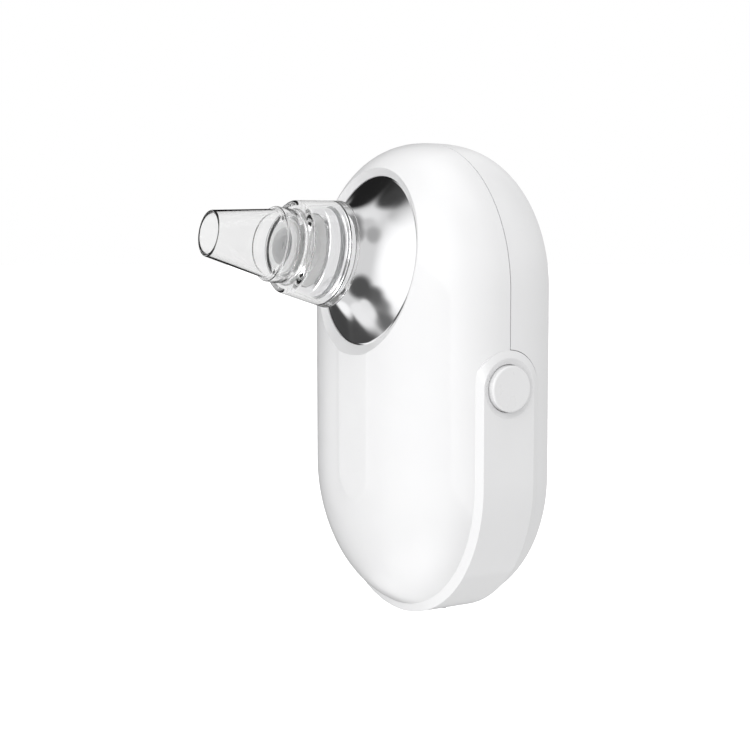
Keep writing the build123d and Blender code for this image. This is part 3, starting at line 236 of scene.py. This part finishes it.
def rounded(corners, radius):
    """Closed outline with each corner replaced by an arc; a corner may carry its own radius."""
    points = []
    count = len(corners)
    for i, corner in enumerate(corners):
        here = Vector(corner[:2])
        before = Vector(corners[i - 1][:2])
        after = Vector(corners[(i + 1) % count][:2])
        wanted = corner[2] if len(corner) > 2 else radius
        back = (before - here).normalized()
        ahead = (after - here).normalized()
        turn = math.pi - back.angle(ahead)
        if wanted <= 0 or turn < 0.03:
            points.append(tuple(here))
            continue
        run = wanted * math.tan(turn / 2)
        limit = 0.49 * min((before - here).length, (after - here).length)
        run = min(run, limit)
        wanted = run / math.tan(turn / 2)
        start = here + back * run
        centre = here + (back + ahead).normalized() * (wanted / math.cos(turn / 2))
        steps = max(2, round(turn / math.radians(12)))
        arm = start - centre
        sign = 1 if back.x * ahead.y - back.y * ahead.x < 0 else -1
        for step in range(steps + 1):
            angle = sign * turn * step / steps
            spun = Vector(
                (
                    arm.x * math.cos(angle) - arm.y * math.sin(angle),
                    arm.x * math.sin(angle) + arm.y * math.cos(angle),
                )
            )
            points.append(tuple(centre + spun))
    return points


def lathe(name, outline, segments=160):
    """Closed ring turned about the nozzle axis from a closed outline of (radius, distance) points."""
    mesh = bpy.data.meshes.new(name)
    builder = bmesh.new()
    rings = []
    for step in range(segments):
        angle = 2 * math.pi * step / segments
        rings.append([builder.verts.new(on_nozzle(r, t, angle)) for r, t in outline])
    for i, ring in enumerate(rings):
        following = rings[(i + 1) % segments]
        for j in range(len(outline)):
            k = (j + 1) % len(outline)
            builder.faces.new((ring[j], ring[k], following[k], following[j]))
    bmesh.ops.recalc_face_normals(builder, faces=builder.faces)
    builder.to_mesh(mesh)
    builder.free()
    mesh.shade_smooth()
    obj = bpy.data.objects.new(name, mesh)
    bpy.context.scene.collection.objects.link(obj)
    return obj


def finish_piece(piece, body, slot, *nodes):
    piece.data.materials.append(MATERIALS[slot])
    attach(piece, body)
    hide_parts(*nodes)
    return piece


def flare(distance):
    share = (HORN_THROAT - distance) / (HORN_THROAT - HORN_RIM)
    return HORN_THROAT_RADIUS + (HORN_RIM_RADIUS - HORN_THROAT_RADIUS) * share**HORN_POWER


def horn_outline():
    steps = 60
    distances = [HORN_RIM + (HORN_THROAT - HORN_RIM) * i / steps for i in range(steps + 1)]
    visible = [(flare(t), t) for t in distances]
    hidden = [(flare(t) - HORN_SKIN_RADIAL, t - HORN_SKIN_AXIAL) for t in distances]
    neck = rounded(
        [
            (HORN_THROAT_RADIUS, HORN_THROAT, 0),
            (NECK_RADIUS + 0.6, HORN_THROAT + 0.6, 0.3),
            (NECK_RADIUS, HORN_THROAT + 0.9, 0.3),
            (NECK_RADIUS, NECK_GROOVE_REAR, 0.05),
            (NECK_GROOVE_RADIUS, NECK_GROOVE_REAR, 0.05),
            (NECK_GROOVE_RADIUS, NECK_GROOVE_FRONT, 0.05),
            (NECK_RADIUS, NECK_GROOVE_FRONT, 0.05),
            (NECK_RADIUS, NECK_END, 0.35),
            (NECK_BORE, NECK_END, 0.2),
            (NECK_BORE, hidden[-1][1], 0),
        ],
        0.2,
    )
    rear = [
        (hidden[0][0], FLANGE_REAR),
        (FLANGE_RADIUS, FLANGE_REAR),
        (FLANGE_RADIUS, FLANGE_FRONT),
        (HORN_RIM_RADIUS, FLANGE_FRONT),
    ]
    return visible[:-1] + neck + list(reversed(hidden)) + rear


def cup_outline():
    slope = (CUP_REAR_RADIUS - CUP_FRONT_RADIUS) / (CUP_FRONT - CUP_REAR)

    def wall(distance):
        return CUP_REAR_RADIUS - slope * (distance - CUP_REAR)

    return rounded(
        [
            (CUP_REAR_RADIUS, CUP_REAR, 0.22),
            (wall(CUP_FRONT), CUP_FRONT, 0.9),
            (SOCKET_RADIUS, CUP_FRONT, 0.15),
            (SOCKET_RADIUS, SOCKET_BOTTOM, 0.1),
            (SOCKET_RADIUS + SOCKET_WALL, SOCKET_BOTTOM, 0.25),
            (SOCKET_RADIUS + SOCKET_WALL, CUP_FRONT - CUP_FACE, 0.4),
            (wall(CUP_FRONT - CUP_FACE) - CUP_WALL, CUP_FRONT - CUP_FACE, 0.5),
            (wall(CUP_REAR + CUP_REBATE) - CUP_WALL, CUP_REAR + CUP_REBATE, 0.1),
            (CUP_REAR_RADIUS - REBATE_WALL, CUP_REAR + CUP_REBATE, 0.1),
            (CUP_REAR_RADIUS - REBATE_WALL, CUP_REAR, 0.15),
        ],
        0.2,
    )


def tip_outline():
    return rounded(
        [
            (TIP_MOUTH_RADIUS - TIP_WALL, TIP_END - MOUTH_LAND, 1.0),
            (TIP_MOUTH_RADIUS - TIP_WALL, TIP_END, LIP_ROUND),
            (TIP_MOUTH_RADIUS, TIP_END, LIP_ROUND),
            (TIP_BASE_RADIUS, STEP_FRONT, 0.15),
            (STEP_RADIUS, STEP_FRONT, 0.3),
            (STEP_RADIUS, CUP_FRONT + TINY_GAP, 0.08),
            (PLUG_RADIUS, CUP_FRONT + TINY_GAP, 0.08),
            (PLUG_RADIUS, PLUG_GROOVE_FRONT, 0.05),
            (PLUG_GROOVE_RADIUS, PLUG_GROOVE_FRONT, 0.05),
            (PLUG_GROOVE_RADIUS, PLUG_GROOVE_REAR, 0.05),
            (PLUG_RADIUS, PLUG_GROOVE_REAR, 0.05),
            (PLUG_RADIUS, SOCKET_BOTTOM + 0.3, 0.15),
            (TIP_BORE_RADIUS, SOCKET_BOTTOM + 0.3, 0.15),
            (TIP_BORE_RADIUS, CUP_FRONT + 0.6, 0.2),
            (RING_BORE_RADIUS, CUP_FRONT + 1.1, 0.2),
            (RING_BORE_RADIUS, STEP_FRONT - 0.8, 0.2),
            (TIP_BASE_RADIUS - TIP_WALL - 0.1, STEP_FRONT + 0.3, 0.3),
        ],
        0.2,
    )


finish_piece(lathe("horn", horn_outline(), 224), "casing", "polished_metal", "nozzle_horn")
finish_piece(lathe("clear_cup", cup_outline(), 192), "cup", "clear_plastic", "collection_cup")
finish_piece(lathe("clear_tip", tip_outline(), 192), "tip", "clear_plastic", "suction_tip")

# ---------------------------------------------------------------- studio


LIGHT_DISTANCE, LIGHT_SIZE = 0.8, 0.6
LIGHT_TARGET = Vector((0, -0.02, 0))
FLOOR_DEPTH, FLOOR_RADIUS = 0.03, 6.0


def towards(azimuth, elevation):
    """Unit vector for an azimuth from -Y towards +X and an elevation, both in degrees."""
    azimuth, elevation = math.radians(azimuth), math.radians(elevation)
    return Vector(
        (
            math.sin(azimuth) * math.cos(elevation),
            -math.cos(azimuth) * math.cos(elevation),
            math.sin(elevation),
        )
    )


def place(name, data, location, back):
    """Object for a light or a camera here that looks against this direction."""
    obj = bpy.data.objects.new(name, data)
    obj.location = location
    obj.rotation_mode = "QUATERNION"
    obj.rotation_quaternion = back.to_track_quat("Z", "Y")
    bpy.context.scene.collection.objects.link(obj)
    return obj


def area_light(name, azimuth, elevation, power):
    """Soft square light on this side of the object; the polished horn doesn't show it."""
    light = bpy.data.lights.new(name, "AREA")
    light.shape = "RECTANGLE"
    light.size = light.size_y = LIGHT_SIZE
    light.energy = power
    back = towards(azimuth, elevation)
    place(name, light, LIGHT_TARGET + back * LIGHT_DISTANCE, back).visible_glossy = False


def make_floor():
    """Plain pale floor below the object: a wide disc that only the camera sees."""
    mesh = bpy.data.meshes.new("studio_floor")
    builder = bmesh.new()
    bmesh.ops.create_circle(builder, cap_ends=True, segments=128, radius=FLOOR_RADIUS)
    builder.to_mesh(mesh)
    builder.free()
    floor = bpy.data.objects.new("studio_floor", mesh)
    floor.location.z = CAD_BOX[0][2] - FLOOR_DEPTH
    shader = Shader("floor_white", Roughness=0.9)
    shader.tint(shader.noise(400.0), (0.9, 0.9, 0.9), (0.93, 0.93, 0.93))
    shader.bsdf.inputs["Emission Color"].default_value = (1, 1, 1, 1)
    shader.bsdf.inputs["Emission Strength"].default_value = 0.55
    floor.visible_diffuse = False
    floor.visible_glossy = False
    floor.visible_transmission = False
    mesh.materials.append(shader.material)
    bpy.context.scene.collection.objects.link(floor)


make_floor()

# What the glossy pieces see around them: (azimuth, elevation) of a soft patch in degrees, its inner and
# outer radius in degrees, and its brightness. A later patch covers an earlier one.
ROOM_LEVEL = 0.72
# The same room is plain for scattered light, for what shows through the clear pieces, and for the camera.
PLAIN_ROOM = {"Is Diffuse Ray": 0.86, "Is Transmission Ray": 0.9, "Is Camera Ray": 1.0}
PATCHES = [
    ((0, 90), 12, 28, 0.85),
    ((90, 70), 10, 26, 0.62),
    ((65, 50), 8, 22, 0.40),
    ((125, 45), 10, 26, 0.32),
    ((170, 52), 14, 34, 0.20),
    ((-10, 48), 4, 16, 0.45),
    ((-48, 50), 12, 21, 0.05),
    ((8, 8), 20, 55, 1.2),
    ((-92, 26), 22, 40, 0.015),
    ((-100, -18), 16, 34, 0.06),
    ((-60, -26), 12, 26, 0.07),
    ((-20, -31), 5, 13, 0.14),
    ((-3, -33), 5, 12, 0.20),
    ((14, -40), 8, 19, 0.12),
    ((52, -58), 18, 34, 0.09),
    ((-40, -50), 12, 19, 0.92),
    ((-23, -45), 6, 11, 0.90),
    ((-11, -52), 5, 10, 0.88),
    ((-88, -48), 8, 18, 1.05),
]


def blend(tree, factor, level, brightness):
    """Output that goes from this level to this brightness as the factor rises."""
    node = tree.nodes.new("ShaderNodeMix")
    node.data_type = "FLOAT"
    node.inputs["B"].default_value = brightness
    tree.links.new(factor, node.inputs["Factor"])
    tree.links.new(level, node.inputs["A"])
    return node.outputs["Result"]


def patch_share(tree, around, direction, inner, outer):
    """Output that is 1 inside the patch, 0 outside it and smooth between the two radii."""
    facing = tree.nodes.new("ShaderNodeVectorMath")
    facing.operation = "DOT_PRODUCT"
    facing.inputs[1].default_value = towards(*direction)
    tree.links.new(around, facing.inputs[0])
    share = tree.nodes.new("ShaderNodeMapRange")
    share.interpolation_type = "SMOOTHSTEP"
    share.inputs["From Min"].default_value = math.cos(math.radians(outer))
    share.inputs["From Max"].default_value = math.cos(math.radians(inner))
    tree.links.new(facing.outputs["Value"], share.inputs["Value"])
    return share.outputs["Result"]


def make_world():
    """White room with softer and darker patches all round for the horn's reflections."""
    world = bpy.data.worlds.new("studio")
    bpy.context.scene.world = world
    world.use_nodes = True
    tree = world.node_tree
    around = tree.nodes.new("ShaderNodeTexCoord").outputs["Generated"]
    rays = tree.nodes.new("ShaderNodeLightPath").outputs
    room = tree.nodes.new("ShaderNodeValue")
    room.outputs[0].default_value = ROOM_LEVEL
    level = room.outputs[0]
    for direction, inner, outer, brightness in PATCHES:
        level = blend(tree, patch_share(tree, around, direction, inner, outer), level, brightness)
    for ray, brightness in PLAIN_ROOM.items():
        level = blend(tree, rays[ray], level, brightness)
    tree.links.new(level, tree.nodes["Background"].inputs["Strength"])
    tree.nodes["Background"].inputs["Color"].default_value = (1, 1, 1, 1)


make_world()
area_light("key", 20, 25, 2.3)
area_light("top", 60, 80, 1.2)
area_light("fill", 5, -50, 4.8)
frame["nodes"]["front_shell"].visible_glossy = False

bpy.context.scene.view_settings.view_transform = "Standard"

# ---------------------------------------------------------------- camera

CAMERA_BACK = towards(57.32, 5.34)
CAMERA_TARGET = Vector((0, -0.0262, 0))
CAMERA_DISTANCE = 0.33345
CAMERA_PLACE = CAMERA_TARGET + CAMERA_BACK * CAMERA_DISTANCE
camera = bpy.data.cameras.new("camera")
camera.sensor_width = 36
camera.lens = 72
camera.shift_x = -0.02615
camera.shift_y = 0.0046
camera.clip_start, camera.clip_end = 0.01, 50
bpy.context.scene.camera = place("camera", camera, CAMERA_PLACE, CAMERA_BACK)
